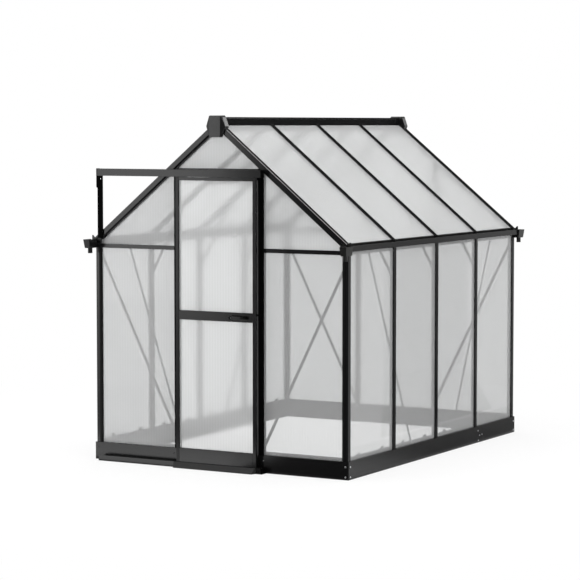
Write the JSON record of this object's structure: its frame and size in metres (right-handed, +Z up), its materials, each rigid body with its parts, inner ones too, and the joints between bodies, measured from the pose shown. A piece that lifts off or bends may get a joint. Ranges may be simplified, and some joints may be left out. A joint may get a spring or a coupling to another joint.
{
  "type": "gable roof greenhouse",
  "caption": "Walk-in gable roof greenhouse: dark metal frame on a folded base, twin-wall sheets, rain gutters, sliding door on a top track and a hinged roof vent.",
  "frame": {"origin": "on the ground under the middle of the house", "axes": "+Z up, +Y along the ridge towards the back gable, the door gable faces -Y, +X to the right seen from the door"},
  "size_m": [1.956, 2.74, 2.272],
  "materials": {
    "frame_paint": "satin powder coat",
    "black_plastic": "fine moulded grain",
    "dark_steel": "dark plated steel",
    "twin_wall_sheet": "clear twin-wall sheet with fine upright flutes",
    "nylon": "plain nylon"
  },
  "bodies": {
    "frame": {"base_front": "frame_paint", "base_back": "frame_paint", "base_left": "frame_paint", "base_right": "frame_paint", "base_joint_plates": "frame_paint", "base_corner_angles": "frame_paint", "door_sill": "frame_paint", "wall_rails": "frame_paint", "corner_posts_front": "frame_paint", "corner_posts_back": "frame_paint", "side_posts_right": "frame_paint", "side_posts_left": "frame_paint", "door_posts": "frame_paint", "back_posts": "frame_paint", "gutter_right": "frame_paint", "gutter_left": "frame_paint", "ridge_beam": "frame_paint", "rafters_front": "frame_paint", "rafters_back": "frame_paint", "roof_bars_right": "frame_paint", "roof_bars_left": "frame_paint", "gable_bars": "frame_paint", "door_header": "frame_paint", "gable_braces": "frame_paint", "side_braces": "frame_paint", "knee_braces": "frame_paint", "door_track": "frame_paint", "track_upright": "frame_paint", "track_brackets": "frame_paint", "bottom_guide": "frame_paint", "threshold_ramp": "frame_paint", "vent_sill": "frame_paint", "panel_clips": "black_plastic", "gutter_spouts": "black_plastic", "ridge_caps": "black_plastic", "track_end_caps": "black_plastic", "latch_keeper": "dark_steel", "vent_hinges": "dark_steel", "side_panels_right": "twin_wall_sheet", "side_panels_left": "twin_wall_sheet", "front_panels": "twin_wall_sheet", "back_panels": "twin_wall_sheet", "roof_panels_right": "twin_wall_sheet", "roof_panels_left": "twin_wall_sheet"},
    "door": {"door_stile_left": "frame_paint", "door_stile_right": "frame_paint", "door_top_rail": "frame_paint", "door_mid_rail": "frame_paint", "door_bottom_rail": "frame_paint", "door_panes": "twin_wall_sheet", "door_hangers": "dark_steel", "door_guide_shoes": "nylon", "door_handle": "black_plastic"},
    "roller_left": {"door_roller_left": "nylon"},
    "roller_right": {"door_roller_right": "nylon"},
    "latch": {"door_latch": "black_plastic"},
    "vent": {"vent_frame": "frame_paint", "vent_pane": "twin_wall_sheet"},
    "stay": {"vent_stay": "dark_steel"}
  },
  "joints": [
    {"name": "door_slide", "type": "slide", "parent": "frame", "child": "door", "axis": [-1, 0, 0], "range_m": [0, 0.59]},
    {"name": "roller_left_spin", "type": "hinge", "parent": "door", "child": "roller_left", "pos_m": [-0.234, -1.319, 1.8968], "axis": [0, -1, 0], "range_deg": [0, 2420]},
    {"name": "roller_right_spin", "type": "hinge", "parent": "door", "child": "roller_right", "pos_m": [0.257, -1.319, 1.8968], "axis": [0, -1, 0], "range_deg": [0, 2420]},
    {"name": "latch_turn", "type": "hinge", "parent": "door", "child": "latch", "pos_m": [0.222, -1.319, 0.986], "axis": [0, 1, 0], "range_deg": [0, 15]},
    {"name": "vent_lift", "type": "hinge", "parent": "frame", "child": "vent", "pos_m": [-0.03571, -0.31375, 2.21633], "axis": [0, 1, 0], "range_deg": [0, 40]},
    {"name": "vent_stay_swing", "type": "hinge", "parent": "vent", "child": "stay", "pos_m": [-0.43866, -0.31225, 1.85285], "axis": [0, 1, 0], "range_deg": [0, 75]}
  ],
  "couplings": [
    {"joint": "roller_left_spin", "follows": "door_slide", "rad_per_m": 71.429},
    {"joint": "roller_right_spin", "follows": "door_slide", "rad_per_m": 71.429}
  ]
}
